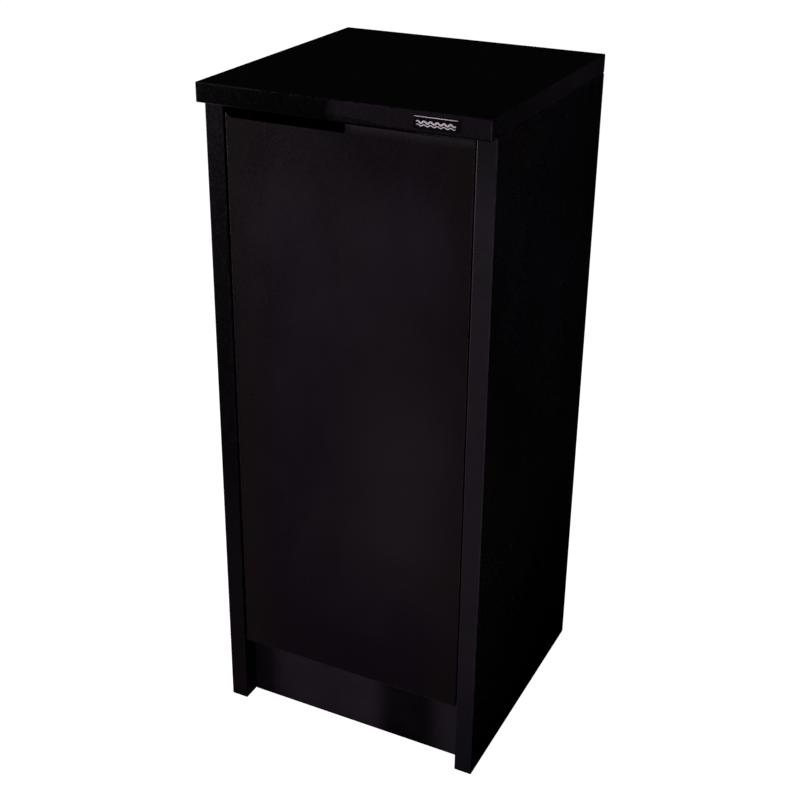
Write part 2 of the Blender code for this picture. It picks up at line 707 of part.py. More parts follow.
for label, height in HINGE_HEIGHTS.items():
    up = Vector((0, 0, height))
    cup_at = Vector((CUP_U, DOOR_THICK - CUP_DEEP + FIT, height))
    place("hinge_cup_" + label, cup_mesh, STEEL, cup_at, facing((0, 1, 0), (1, 0, 0)), DOOR_AXIS)
    for word, dz in (("low", -CUP_SCREW_HALF), ("high", CUP_SCREW_HALF)):
        at = Vector((CUP_U - CUP_SCREW_IN, DOOR_THICK + 1.2 * mm + 2 * FIT, height + dz))
        place("hinge_cup_screw_%s_%s" % (label, word), cup_screw, STEEL, at, facing((0, 1, 0), (1, 0, 0)), DOOR_AXIS)
    place("hinge_outer_link_" + label, outer_link_mesh, STEEL, up, None, OUTER_LINK_AXIS)
    place("hinge_inner_link_" + label, inner_link_mesh, STEEL, up, None, INNER_LINK_AXIS)
    place("hinge_arm_" + label, arm_mesh, STEEL, AXIS + up)
    place("hinge_plate_" + label, plate_mesh, STEEL, AXIS + up)
    for word, dz in (("low", -PLATE_SCREW_HALF), ("high", PLATE_SCREW_HALF)):
        at = AXIS + Vector((plate_face - 2 * FIT - 2 * mm, PLATE_SCREW_V, height + dz))
        place("hinge_plate_screw_%s_%s" % (label, word), plate_screw, STEEL, at, facing((-1, 0, 0), (0, 1, 0)))
    for word, y in (("adjuster", 44 * mm), ("arm", 59 * mm)):
        at = AXIS + Vector((ARM_WEB - FIT, y, height))
        place("hinge_%s_screw_%s" % (word, label), arm_screw, STEEL, at, facing((-1, 0, 0), (0, 1, 0)))
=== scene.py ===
"""Looks of the aquarium stand cabinet: black melamine boards, dark hardboard back, nickel-plated concealed hinges,
zinc cam locks, a small plain badge, and the studio round it. Everything is in metres, in the frame of the CAD model."""

import json
import math

import bmesh
import bpy
from mathutils import Matrix, Vector


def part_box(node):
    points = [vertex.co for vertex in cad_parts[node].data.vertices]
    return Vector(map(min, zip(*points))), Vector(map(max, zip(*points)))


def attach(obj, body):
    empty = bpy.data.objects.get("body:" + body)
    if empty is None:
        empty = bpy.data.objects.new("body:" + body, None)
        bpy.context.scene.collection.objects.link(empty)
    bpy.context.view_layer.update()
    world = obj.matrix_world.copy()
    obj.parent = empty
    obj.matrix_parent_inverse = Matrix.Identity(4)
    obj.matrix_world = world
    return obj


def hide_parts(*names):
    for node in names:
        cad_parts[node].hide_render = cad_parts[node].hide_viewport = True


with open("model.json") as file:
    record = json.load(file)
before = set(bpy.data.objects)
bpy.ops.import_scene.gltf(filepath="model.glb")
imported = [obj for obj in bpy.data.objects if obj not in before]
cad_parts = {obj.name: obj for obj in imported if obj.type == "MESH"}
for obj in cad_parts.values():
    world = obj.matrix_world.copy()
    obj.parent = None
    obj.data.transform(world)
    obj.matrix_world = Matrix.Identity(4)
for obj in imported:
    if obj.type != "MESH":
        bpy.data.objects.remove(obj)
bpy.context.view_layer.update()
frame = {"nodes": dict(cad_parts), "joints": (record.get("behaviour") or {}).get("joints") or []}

NODES = frame["nodes"]
MM = 0.001
PIECES = bpy.data.collections.new("pieces")
STUDIO = bpy.data.collections.new("studio")
bpy.context.scene.collection.children.link(PIECES)
bpy.context.scene.collection.children.link(STUDIO)


# ---------------------------------------------------------------- node graphs
class Graph:
    """One material's nodes, with a short call for each kind that is used. Coordinates are the piece's own, in metres."""

    def __init__(self, name):
        self.material = bpy.data.materials.new(name)
        self.material.use_nodes = True
        self.tree = self.material.node_tree
        self.tree.nodes.clear()
        self.output = self.new("ShaderNodeOutputMaterial")
        self.shader = self.new("ShaderNodeBsdfPrincipled")
        self.tree.links.new(self.shader.outputs[0], self.output.inputs["Surface"])
        self.coords = self.new("ShaderNodeTexCoord").outputs["Object"]

    def new(self, kind, **settings):
        node = self.tree.nodes.new(kind)
        for key, value in settings.items():
            setattr(node, key, value)
        return node

    def put(self, value, socket):
        if isinstance(value, bpy.types.NodeSocket):
            self.tree.links.new(value, socket)
        elif isinstance(value, (tuple, list)) and len(value) == 3 and socket.type == "RGBA":
            socket.default_value = (*value, 1.0)
        else:
            socket.default_value = value

    def math(self, operation, a, b=0.0, clamp=False):
        node = self.new("ShaderNodeMath", operation=operation, use_clamp=clamp)
        self.put(a, node.inputs[0])
        self.put(b, node.inputs[1])
        return node.outputs[0]

    def span(self, value, low, high, to_low=0.0, to_high=1.0, smooth=True):
        """The value mapped from low..high to to_low..to_high, held at both ends."""
        node = self.new("ShaderNodeMapRange", interpolation_type="SMOOTHSTEP" if smooth else "LINEAR", clamp=True)
        for i, x in enumerate((value, low, high, to_low, to_high)):
            self.put(x, node.inputs[i])
        return node.outputs[0]

    def stretched(self, factors, vector=None):
        node = self.new("ShaderNodeVectorMath", operation="MULTIPLY")
        self.put(vector or self.coords, node.inputs[0])
        node.inputs[1].default_value = factors
        return node.outputs[0]

    def moved(self, offset, vector=None):
        node = self.new("ShaderNodeVectorMath", operation="ADD")
        self.put(vector or self.coords, node.inputs[0])
        node.inputs[1].default_value = offset
        return node.outputs[0]

    def noise(self, scale, detail=2.0, roughness=0.5, distortion=0.0, vector=None):
        node = self.new("ShaderNodeTexNoise")
        self.put(vector or self.coords, node.inputs["Vector"])
        node.inputs["Scale"].default_value = scale
        node.inputs["Detail"].default_value = detail
        node.inputs["Roughness"].default_value = roughness
        node.inputs["Distortion"].default_value = distortion
        return node.outputs["Fac"]

    def cells(self, scale, feature="F1", output="Distance", vector=None, randomness=1.0):
        node = self.new("ShaderNodeTexVoronoi", feature=feature)
        self.put(vector or self.coords, node.inputs["Vector"])
        node.inputs["Scale"].default_value = scale
        node.inputs["Randomness"].default_value = randomness
        return node.outputs[output]

    def mix(self, factor, a, b, blend="MIX"):
        node = self.new("ShaderNodeMix", data_type="RGBA", blend_type=blend)
        self.put(factor, node.inputs[0])
        self.put(a, node.inputs[6])
        self.put(b, node.inputs[7])
        return node.outputs[2]

    def ramp(self, value, stops):
        node = self.new("ShaderNodeValToRGB")
        points = node.color_ramp.elements
        while len(points) < len(stops):
            points.new(0.5)
        for point, (at, color) in zip(points, stops):
            point.position = at
            point.color = (*color, 1.0)
        self.put(value, node.inputs[0])
        return node.outputs[0]

    def bump(self, height, distance, strength=1.0, under=None):
        node = self.new("ShaderNodeBump")
        node.inputs["Strength"].default_value = strength
        node.inputs["Distance"].default_value = distance
        self.put(height, node.inputs["Height"])
        if under is not None:
            self.put(under, node.inputs["Normal"])
        return node.outputs[0]

    def xyz(self, vector=None):
        node = self.new("ShaderNodeSeparateXYZ")
        self.put(vector or self.coords, node.inputs[0])
        return node.outputs

    def finish(self, color, roughness, normal=None, **constants):
        self.put(color, self.shader.inputs["Base Color"])
        self.put(roughness, self.shader.inputs["Roughness"])
        if normal is not None:
            self.put(normal, self.shader.inputs["Normal"])
        for key, value in constants.items():
            self.shader.inputs[key.replace("_", " ")].default_value = value
        return self.material


def dress(names, material):
    """Gives these CAD nodes the material."""
    for name in names:
        slots = NODES[name].data.materials
        slots.clear()
        slots.append(material)


# ---------------------------------------------------------------- boards
def chipboard(g):
    """Colour and height of a sawn or drilled chipboard core."""
    flakes = g.cells(420.0, vector=g.stretched((1.0, 1.0, 2.2)))
    tone = g.cells(420.0, output="Color", vector=g.stretched((1.0, 1.0, 2.2)))
    shade = g.xyz(tone)[0]
    color = g.ramp(shade, [(0.0, (0.20, 0.125, 0.062)), (0.45, (0.36, 0.245, 0.135)), (0.8, (0.50, 0.37, 0.22)), (1.0, (0.30, 0.19, 0.10))])
    color = g.mix(g.span(flakes, 0.25, 0.75), color, (0.13, 0.08, 0.04))
    color = g.mix(g.math("MULTIPLY", g.noise(1500.0, 3.0), 0.45), color, (0.42, 0.30, 0.17))
    height = g.math("ADD", g.math("MULTIPLY", flakes, -0.7), g.noise(900.0, 4.0, 0.6))
    return color, height


def melamine(name, node, dark, light, warm, banded=(), raw_below=None, core_top=None, rough=(0.27, 0.38), worn=0.5, seed=0.0, specular=0.20, paint_light_and_shade=None, spared=(), edge_wear_and_highlight_color=(0.048, 0.043, 0.050)):
    """Textured black melamine board. It knows its own box, so holes and grooves show chipboard, banded edges have their
    seam, and its edges are lighter, partly from wear and partly as painted highlight, except round the spared faces.
    banded holds the faces with edge bands, as "x-", "y+" and so on.
    tint(g, near, xyz, color, roughness) paints light and shade into the colour and roughness of parts of this one
    board."""
    g = Graph(name)
    low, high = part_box(node)
    x, y, z = g.xyz()
    near = {}
    for axis, socket in (("x", x), ("y", y), ("z", z)):
        i = "xyz".index(axis)
        near[axis + "-"] = g.math("SUBTRACT", socket, low[i])
        near[axis + "+"] = g.math("SUBTRACT", high[i], socket)
    dx, dy, dz = (g.math("MINIMUM", near[a + "-"], near[a + "+"]) for a in "xyz")
    inside = g.math("MINIMUM", g.math("MINIMUM", dx, dy), dz)
    if core_top is not None:
        inside = g.math("MINIMUM", inside, g.math("SUBTRACT", core_top, z))
    edge = g.math("MAXIMUM", g.math("MINIMUM", dx, dy), g.math("MINIMUM", g.math("MAXIMUM", dx, dy), dz))
    place = g.moved((seed, seed * 0.37, seed * 0.71))

    # The printed paper: soft clouds, a warmer cast in places, and a fine pearl grain.
    clouds = g.noise(4.2, 3.0, 0.55, 0.6, place)
    color = g.mix(g.span(clouds, 0.30, 0.70), dark, light)
    cast = g.noise(2.3, 2.0, 0.5, 0.3, g.moved((seed + 3.1, 1.7, 0.4)))
    color = g.mix(g.span(cast, 0.50, 0.74, 0.0, 0.85), color, warm)
    # Handled and wiped areas are shinier than the rest.
    wiped = g.noise(7.0, 5.0, 0.62, 1.4, g.stretched((1.0, 1.0, 0.45), place))
    roughness = g.span(wiped, 0.34, 0.68, rough[0], rough[1])
    # The given function paints light and shade into parts of this board.
    if paint_light_and_shade:
        color, roughness = paint_light_and_shade(g, near, (x, y, z), color, roughness)
    pearl = g.noise(1300.0, 2.0, 0.5)
    color = g.mix(g.span(pearl, 0.35, 0.70, 0.0, 0.30), color, (1.6, 1.6, 1.6), "MULTIPLY")
    roughness = g.math("ADD", roughness, g.span(g.noise(260.0, 2.0), 0.3, 0.7, -0.02, 0.03))

    # Lighter edges in broken spots: wear and a few tiny chips, and partly a painted highlight where edges catch the
    # light.
    edge_wear_and_highlight = g.math("MULTIPLY", g.span(edge, 0.0004, 0.0022, 1.0, 0.0), g.span(g.noise(55.0, 4.0, 0.65, 0.5, place), 0.36, 0.66))
    edge_wear_and_highlight = g.math("MULTIPLY", edge_wear_and_highlight, worn)
    for face in spared:
        edge_wear_and_highlight = g.math("MULTIPLY", edge_wear_and_highlight, g.span(near[face], 0.002, 0.005))
    color = g.mix(edge_wear_and_highlight, color, edge_wear_and_highlight_color)
    roughness = g.math("ADD", roughness, g.math("MULTIPLY", edge_wear_and_highlight, 0.10))
    # Edge bands: a hairline seam where a band meets the face.
    seam = None
    for face in banded:
        away = g.math("ABSOLUTE", g.math("SUBTRACT", near[face], 0.00125))
        line = g.span(away, 0.00004, 0.00016, 1.0, 0.0)
        seam = line if seam is None else g.math("MAXIMUM", seam, line)
    height = g.math("ADD", g.math("MULTIPLY", pearl, 0.55), g.math("MULTIPLY", g.noise(420.0, 2.0, 0.5), 0.45))
    if seam is not None:
        color = g.mix(g.math("MULTIPLY", seam, 0.75), color, (0.0012, 0.0011, 0.0012))
        height = g.math("SUBTRACT", height, g.math("MULTIPLY", seam, 1.6))
    # Very slight waviness of the pressed surface.
    wave = g.bump(g.noise(26.0, 1.0, 0.4, 0.0, place), 0.00022, 0.5)
    normal = g.bump(height, 0.000035, 0.75, wave)

    # Chipboard inside holes and grooves, and on edges that stand on the floor.
    core_color, core_height = chipboard(g)
    core = g.span(inside, 0.00055, 0.00070, 0.0, 1.0, smooth=False)
    if raw_below is not None:
        raw = g.span(g.math("ADD", z, g.math("MULTIPLY", g.noise(300.0), 0.0004)), raw_below, raw_below + 0.0003, 1.0, 0.0)
        core = g.math("MAXIMUM", core, raw)
    color = g.mix(core, color, core_color)
    roughness = g.math("ADD", roughness, g.math("MULTIPLY", core, 0.45), clamp=True)
    rough_normal = g.bump(g.math("MULTIPLY", core_height, core), 0.00025, 0.8, normal)
    return g.finish(color, roughness, rough_normal, Specular_IOR_Level=specular)


def paint_band_light(g, near, face, surface, mask=1.0, shade=(0.030, 0.023, 0.033), gloss=0.34, low=0.25):
    """Painted light and shade: a mottled band of the given colour over one face, on top of the surface (its colour and
    roughness).
    """
    color, roughness = surface
    on = g.math("MULTIPLY", g.span(near[face], 0.0008, 0.0014, 1.0, 0.0), mask)
    mottle = g.span(g.noise(38.0, 4.0, 0.62, 0.8), 0.34, 0.66, low, 1.0)
    color = g.mix(g.math("MULTIPLY", on, mottle), color, shade)
    return color, g.math("ADD", roughness, g.math("MULTIPLY", on, g.math("SUBTRACT", gloss, roughness)))


def top_painted_light(g, near, xyz, color, roughness):
    """Painted light and shade: the right end and the right half of the front are painted lighter as if they catch more
    light, the left half of the front is painted nearly black, a painted shadow line runs along the front's lower edge,
    and a painted highlight runs along the upper front edge at the left end.
    """
    surface = paint_band_light(g, near, "x+", (color, roughness), g.span(xyz[1], -0.15, 0.05, 0.25, 1.0), (0.0240, 0.0180, 0.0270))
    right_half = g.span(xyz[0], -0.018, 0.006)
    surface = paint_band_light(g, near, "y-", surface, g.math("SUBTRACT", 1.0, right_half), (0.0010, 0.0008, 0.0010), 0.18, 0.9)
    color, roughness = paint_band_light(g, near, "y-", surface, right_half, (0.0088, 0.0060, 0.0094), 0.27, 0.7)
    # Painted shadow: a dark line along the front's lower edge, taller at the left and thinner to the right.
    front = g.span(near["y-"], 0.001, 0.002, 1.0, 0.0)
    over_line = g.math("SUBTRACT", near["z-"], g.span(xyz[0], 0.010, 0.085, 0.0058, 0.0014))
    lower = g.math("MULTIPLY", g.span(over_line, 0.0, 0.0018, 1.0, 0.0), front)
    color = g.mix(g.math("MULTIPLY", lower, 0.94), color, (0.0008, 0.0006, 0.0008))
    # Painted highlight: a light line along the upper front edge at the left end.
    upper = g.math("MULTIPLY", g.span(near["z+"], 0.0004, 0.0020, 1.0, 0.0), g.span(near["y-"], 0.0002, 0.0022, 1.0, 0.0))
    upper = g.math("MULTIPLY", upper, g.span(xyz[0], -0.060, -0.130, 0.0, 0.55))
    return g.mix(upper, color, (0.030, 0.029, 0.030)), roughness


def left_painted_shade(g, near, xyz, color, roughness):
    """Painted shade: the front edge is glossy and painted nearly black up high, and duller and lighter towards the
    floor.
    """
    upper = g.span(xyz[2], 0.12, 0.42)
    surface = paint_band_light(g, near, "y-", (color, roughness), upper, (0.0007, 0.0005, 0.0007), 0.25, 0.95)
    return paint_band_light(g, near, "y-", surface, g.math("SUBTRACT", 1.0, upper), (0.0038, 0.0028, 0.0042), 0.26, 0.8)


def right_painted_light(g, near, xyz, color, roughness):
    # Painted light: the front edge is painted lighter than the boards, with painted shade darkening it near the floor
    # and near the top.
    surface = paint_band_light(g, near, "y-", (color, roughness), 1.0, (0.0190, 0.0152, 0.0206), 0.35, 0.75)
    painted_shade_ends = g.math("MAXIMUM", g.span(xyz[2], 0.24, 0.06), g.span(xyz[2], 0.78, 0.90))
    return paint_band_light(g, near, "y-", surface, painted_shade_ends, (0.0096, 0.0088, 0.0112), 0.28, 0.8)


def kick_painted_light(g, near, xyz, color, roughness):
    x, y, z = xyz
    # Painted light: the kick's colour is lifted well above the other boards towards a lighter tone, varying in soft
    # clouds.
    color = g.mix(g.span(g.noise(14.0, 2.0, 0.5, 0.4), 0.3, 0.7, 0.65, 1.0), color, (0.0250, 0.0208, 0.0275))
    # A painted dark reflection: a soft dark vertical area right of the middle, where the gloss is also a little
    # smoother.
    across = g.math("ABSOLUTE", g.math("SUBTRACT", x, 0.084))
    painted_dark_reflection = g.math("MULTIPLY", g.span(across, 0.022, 0.062, 1.0, 0.0), g.span(g.noise(20.0, 2.0), 0.3, 0.7, 0.85, 1.0))
    color = g.mix(g.math("MULTIPLY", painted_dark_reflection, 0.96), color, (0.0008, 0.0004, 0.0009))
    return color, g.math("SUBTRACT", roughness, g.math("MULTIPLY", painted_dark_reflection, 0.06))


def door_painted_light(g, near, xyz, color, roughness):
    """Painted light: a soft lighter field down the middle, leaning to the right lower down, with a brighter painted
    spot right of the middle, and browner towards both long edges.
    """
    x, y, z = xyz
    cloud = g.span(g.noise(8.0, 2.0, 0.5, 0.6), 0.3, 0.7, -1.0, 1.0, smooth=False)
    middle = g.span(z, 0.30, 0.80, 0.060, 0.010, smooth=False)
    across = g.math("ADD", g.math("ABSOLUTE", g.math("SUBTRACT", x, middle)), g.math("MULTIPLY", cloud, 0.022))
    up = g.math("ADD", z, g.math("MULTIPLY", cloud, 0.020))
    field = g.math("MULTIPLY", g.span(up, 0.13, 0.27), g.span(up, 0.88, 0.73))
    field = g.math("MULTIPLY", field, g.span(across, 0.055, 0.185, 1.0, 0.15))
    # Painted light: a brighter spot right of the middle, partway up.
    painted_light_spot = g.math("MULTIPLY", g.span(up, 0.24, 0.36), g.span(up, 0.62, 0.46))
    painted_light_spot = g.math("MULTIPLY", painted_light_spot, g.span(g.math("ABSOLUTE", g.math("SUBTRACT", x, 0.075)), 0.01, 0.10, 1.0, 0.0))
    dim = g.mix(g.span(g.math("ABSOLUTE", x), 0.10, 0.15), (0.0076, 0.0046, 0.0072), (0.0088, 0.0058, 0.0056))
    shade = g.mix(field, dim, color)
    shade = g.mix(g.math("MULTIPLY", painted_light_spot, 0.75), shade, (0.0205, 0.0160, 0.0176))
    # Painted highlight: a light band along the top edge, right of the middle.
    painted_top_highlight = g.math("MULTIPLY", g.math("POWER", g.span(near["z+"], -0.001, 0.013, 1.0, 0.0, smooth=False), 1.6), g.span(x, 0.000, 0.012))
    shade = g.mix(painted_top_highlight, shade, (0.0310, 0.0250, 0.0262))
    return shade, g.math("ADD", roughness, g.span(field, 0.0, 1.0, -0.05, 0.02))


CARCASS = dict(dark=(0.0052, 0.0040, 0.0058), light=(0.0096, 0.0075, 0.0108), warm=(0.0090, 0.0068, 0.0060), rough=(0.25, 0.31))
dress(["top_panel"], melamine("melamine_top", "top_panel", banded=("y-", "y+", "x-", "x+"), seed=0.0, paint_light_and_shade=top_painted_light, spared=("z-",), **CARCASS))
dress(["left_side_panel"], melamine("melamine_left", "left_side_panel", banded=("y-", "y+"), raw_below=0.0002, seed=5.0, paint_light_and_shade=left_painted_shade, worn=0.25, **CARCASS))
dress(["right_side_panel"], melamine("melamine_right", "right_side_panel", banded=("y-", "y+"), raw_below=0.0002, seed=9.0, paint_light_and_shade=right_painted_light, spared=("x-",), **CARCASS))
dress(["bottom_shelf"], melamine("melamine_deck", "bottom_shelf", banded=("y-",), seed=13.0, worn=0.35, **CARCASS))
dress(["adjustable_shelf"], melamine("melamine_shelf", "adjustable_shelf", banded=("y-", "y+", "x-", "x+"), seed=17.0, **CARCASS))
dress(["kickboard"], melamine("melamine_kick", "kickboard", banded=("z+",), raw_below=0.0002, seed=21.0, paint_light_and_shade=kick_painted_light, **CARCASS))
dress(
    ["door"],
    melamine(
        "melamine_door",
        "door",
        dark=(0.0082, 0.0060, 0.0090),
        light=(0.0140, 0.0105, 0.0152),
        warm=(0.0120, 0.0092, 0.0080),
        banded=("x-", "x+", "z-"),
        core_top=0.870,
        rough=(0.29, 0.34),
        worn=0.55,
        seed=27.0,
        paint_light_and_shade=door_painted_light,
    ),
)


def hardboard():
    """Thin fibreboard: dark grey foil towards the inside of the cabinet, dark brown fibres behind and on the cut edges."""
    g = Graph("hardboard_back")
    low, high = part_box("back_panel")
    y = g.xyz()[1]
    fibres = g.noise(240.0, 5.0, 0.7, 1.2, g.stretched((1.0, 1.0, 0.6)))
    hairs = g.noise(900.0, 3.0, 0.6, 2.0, g.stretched((0.35, 1.0, 1.0)))
    patches = g.noise(6.0, 3.0, 0.6, 0.4)
    raw = g.ramp(fibres, [(0.25, (0.024, 0.0170, 0.0125)), (0.55, (0.050, 0.0360, 0.0260)), (0.85, (0.082, 0.059, 0.042))])
    raw = g.mix(g.span(hairs, 0.58, 0.78, 0.0, 0.5), raw, (0.110, 0.082, 0.058))
    raw = g.mix(g.span(patches, 0.45, 0.75, 0.0, 0.45), raw, (0.030, 0.023, 0.018))
    foil = g.mix(g.span(g.noise(5.0, 3.0, 0.55, 0.5), 0.3, 0.7), (0.0270, 0.0245, 0.0275), (0.0390, 0.0355, 0.0395))
    front = g.span(y, low.y + 0.00010, low.y + 0.00030, 1.0, 0.0)
    color = g.mix(front, raw, foil)
    roughness = g.math("ADD", g.span(fibres, 0.2, 0.8, 0.56, 0.78), g.math("MULTIPLY", front, -0.26))
    weave = g.math("ADD", g.cells(620.0, vector=g.stretched((1.0, 1.0, 1.0))), fibres)
    normal = g.bump(weave, 0.00012, 0.55)
    return g.finish(color, roughness, normal, Specular_IOR_Level=0.30)


dress(["back_panel"], hardboard())


# ---------------------------------------------------------------- metals, wood, plastic
def nickel(name="nickel_plated_steel", seed=0.0):
    """Bright nickel plating over stamped steel: fine drawing lines, faint tarnish, tiny pits."""
    g = Graph(name)
    place = g.moved((seed, seed, seed))
    lines = g.noise(900.0, 3.0, 0.6, 0.0, g.stretched((1.0, 1.0, 0.05), place))
    tarnish = g.noise(90.0, 4.0, 0.6, 0.8, place)
    specks = g.noise(2600.0, 2.0, 0.5, 0.0, place)
    color = g.mix(g.span(tarnish, 0.42, 0.72, 0.0, 0.75), (0.66, 0.645, 0.61), (0.50, 0.475, 0.43))
    color = g.mix(g.span(specks, 0.64, 0.74, 0.0, 0.5), color, (0.30, 0.28, 0.25))
    roughness = g.math("ADD", g.span(tarnish, 0.35, 0.75, 0.20, 0.36), g.span(lines, 0.3, 0.7, -0.04, 0.06))
    height = g.math("ADD", g.math("MULTIPLY", lines, 0.7), g.math("MULTIPLY", specks, 0.3))
    return g.finish(color, roughness, g.bump(height, 0.00003, 0.6), Metallic=1.0)


def cast_zinc():
    """Die-cast zinc: dull blue-grey, grainy skin."""
    g = Graph("cast_zinc")
    grain = g.noise(1600.0, 3.0, 0.6)
    blotch = g.noise(160.0, 3.0, 0.6, 0.5)
    color = g.mix(g.span(blotch, 0.35, 0.7), (0.40, 0.41, 0.43), (0.55, 0.56, 0.575))
    color = g.mix(g.span(grain, 0.60, 0.75, 0.0, 0.6), color, (0.22, 0.22, 0.23))
    roughness = g.span(grain, 0.3, 0.7, 0.36, 0.54)
    return g.finish(color, roughness, g.bump(grain, 0.00006, 0.7), Metallic=1.0)


def beech():
    """Turned beech: long pale grain with short dark flecks."""
    g = Graph("beech")
    along = g.stretched((0.12, 1.0, 1.0))
    grain = g.noise(700.0, 5.0, 0.6, 0.8, along)
    flecks = g.cells(900.0, vector=g.stretched((0.25, 1.0, 1.0)))
    color = g.ramp(grain, [(0.25, (0.42, 0.26, 0.13)), (0.55, (0.58, 0.39, 0.22)), (0.85, (0.67, 0.48, 0.30))])
    color = g.mix(g.span(flecks, 0.0, 0.16, 0.6, 0.0), color, (0.26, 0.14, 0.065))
    roughness = g.span(grain, 0.3, 0.8, 0.55, 0.75)
    return g.finish(color, roughness, g.bump(grain, 0.00010, 0.6), Specular_IOR_Level=0.35)


def clear_pad():
    """Soft clear polyurethane with a faint haze."""
    g = Graph("clear_pad")
    haze = g.noise(700.0, 3.0, 0.5)
    color = g.mix(g.span(haze, 0.3, 0.7), (0.60, 0.60, 0.57), (0.74, 0.74, 0.71))
    roughness = g.span(haze, 0.3, 0.7, 0.16, 0.30)
    return g.finish(color, roughness, g.bump(haze, 0.00002, 0.4), Transmission_Weight=0.55, IOR=1.48)


NICKEL = nickel()
SCREW_STEEL = nickel("nickel_plated_screws", 3.0)
ZINC = cast_zinc()
dress([n for n in NODES if n.startswith("hinge_") and "screw" not in n], NICKEL)
dress([n for n in NODES if "screw" in n or n.startswith(("cam_bolt", "shelf_peg"))], SCREW_STEEL)
dress([n for n in NODES if n.startswith("cam_lock")], ZINC)
dress([n for n in NODES if n.startswith("kick_dowel")], beech())
dress([n for n in NODES if n.startswith("door_bumper")], clear_pad())


# ---------------------------------------------------------------- mesh helpers
def piece(name, bm, material, body, smooth=35):
    """A new piece from this bmesh, in the row frame, riding on a body."""
    bmesh.ops.recalc_face_normals(bm, faces=bm.faces)
    mesh = bpy.data.meshes.new(name)
    bm.to_mesh(mesh)
    bm.free()
    mesh.shade_smooth()
    mesh.set_sharp_from_angle(angle=math.radians(smooth))
    made = bpy.data.objects.new(name, mesh)
    PIECES.objects.link(made)
    mesh.materials.append(material)
    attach(made, body)
    return made


def prism(bm, outline, depth, matrix, inset=0.0):
    """A closed outline in XY raised by depth along Z, with a small chamfer round its top, put where the matrix says."""
    count = len(outline)
    centre = Vector((sum(p[0] for p in outline) / count, sum(p[1] for p in outline) / count))
    rings = [[(x, y, 0.0) for x, y in outline], [(x, y, depth - inset) for x, y in outline]]
    if inset:
        shrunk = []
        for i, p in enumerate(outline):
            before, after = Vector(outline[i - 1]), Vector(outline[(i + 1) % count])
            edge_a, edge_b = (Vector(p) - before).normalized(), (after - Vector(p)).normalized()
            inward = Vector((-(edge_a.y + edge_b.y), edge_a.x + edge_b.x))
            inward = inward.normalized() if inward.length > 1e-9 else (centre - Vector(p)).normalized()
            shrunk.append((p[0] + inward.x * inset, p[1] + inward.y * inset, depth))
        rings.append(shrunk)
    made = [[bm.verts.new(matrix @ Vector(c)) for c in ring] for ring in rings]
    for lower, upper in zip(made, made[1:]):
        for i in range(count):
            j = (i + 1) % count
            bm.faces.new((lower[i], lower[j], upper[j], upper[i]))
    bm.faces.new(made[-1])
    bm.faces.new(list(reversed(made[0])))


def turned(bm, profile, matrix, steps=24):
    """A profile of (radius, height) points turned about Z; a radius of 0 closes it on the axis."""
    rings = []
    for radius, height in profile:
        if radius < 1e-9:
            rings.append([bm.verts.new(matrix @ Vector((0, 0, height)))])
        else:
            rings.append(
                [
                    bm.verts.new(matrix @ Vector((radius * math.cos(math.tau * k / steps), radius * math.sin(math.tau * k / steps), height)))
                    for k in range(steps)
                ]
            )
    for a, b in zip(rings, rings[1:]):
        for k in range(steps):
            j = (k + 1) % steps
            corners = []
            for ring, ids in ((a, (k, j)), (b, (j, k))):
                corners += [ring[0]] if len(ring) == 1 else [ring[i] for i in ids]
            if len(corners) > 2:
                bm.faces.new(corners)
    for ring, flip in ((rings[0], True), (rings[-1], False)):
        if len(ring) > 1:
            bm.faces.new(list(reversed(ring)) if flip else ring)


def rounded_outline(width, height, radius, steps=5):
    points = []
    for cx, cy, start in ((1, 1, 0), (-1, 1, 90), (-1, -1, 180), (1, -1, 270)):
        for i in range(steps + 1):
            a = math.radians(start + 90 * i / steps)
            points.append((cx * (width / 2 - radius) + radius * math.cos(a), cy * (height / 2 - radius) + radius * math.sin(a)))
    return points


def facing(z_dir, x_dir, origin):
    """The matrix that takes local +Z and +X to these two directions, and the local origin to this point."""
    z, x = Vector(z_dir).normalized(), Vector(x_dir).normalized()
    turn = Matrix((x, z.cross(x), z)).transposed().to_4x4()
    return Matrix.Translation(origin) @ turn


# ---------------------------------------------------------------- badge: a plain plate with a wave pattern
def badge_plate_material():
    g = Graph("badge_plate_black")
    lines = g.noise(2200.0, 3.0, 0.6, 0.0, g.stretched((0.05, 1.0, 1.0)))
    smudge = g.noise(120.0, 3.0, 0.6)
    color = g.mix(g.span(lines, 0.3, 0.7), (0.0020, 0.0017, 0.0021), (0.0046, 0.0040, 0.0048))
    roughness = g.span(smudge, 0.35, 0.7, 0.16, 0.26)
    return g.finish(color, roughness, g.bump(lines, 0.00002, 0.4), Specular_IOR_Level=0.25)


def badge_print_material():
    g = Graph("badge_silver")
    lines = g.noise(2600.0, 3.0, 0.6, 0.0, g.stretched((0.05, 1.0, 1.0)))
    worn = g.noise(420.0, 3.0, 0.6)
    color = g.mix(g.span(lines, 0.3, 0.7), (0.80, 0.77, 0.80), (0.93, 0.90, 0.93))
    color = g.mix(g.span(worn, 0.62, 0.76, 0.0, 0.35), color, (0.45, 0.43, 0.45))
    roughness = g.span(lines, 0.3, 0.7, 0.40, 0.55)
    return g.finish(color, roughness, g.bump(lines, 0.00002, 0.5), Metallic=0.15)


badge_low, badge_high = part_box("badge_plate")
badge_middle = (badge_low + badge_high) / 2
badge_w, badge_t, badge_h = badge_high - badge_low
on_badge = facing((0, -1, 0), (1, 0, 0), Vector((badge_middle.x, badge_high.y, badge_middle.z)))
bm = bmesh.new()
prism(bm, rounded_outline(badge_w, badge_h, 1.6 * MM, 6), badge_t * 0.72, on_badge, 0.16 * MM)
badge = piece("badge_black_plate", bm, badge_plate_material(), "carcass")
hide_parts("badge_plate")

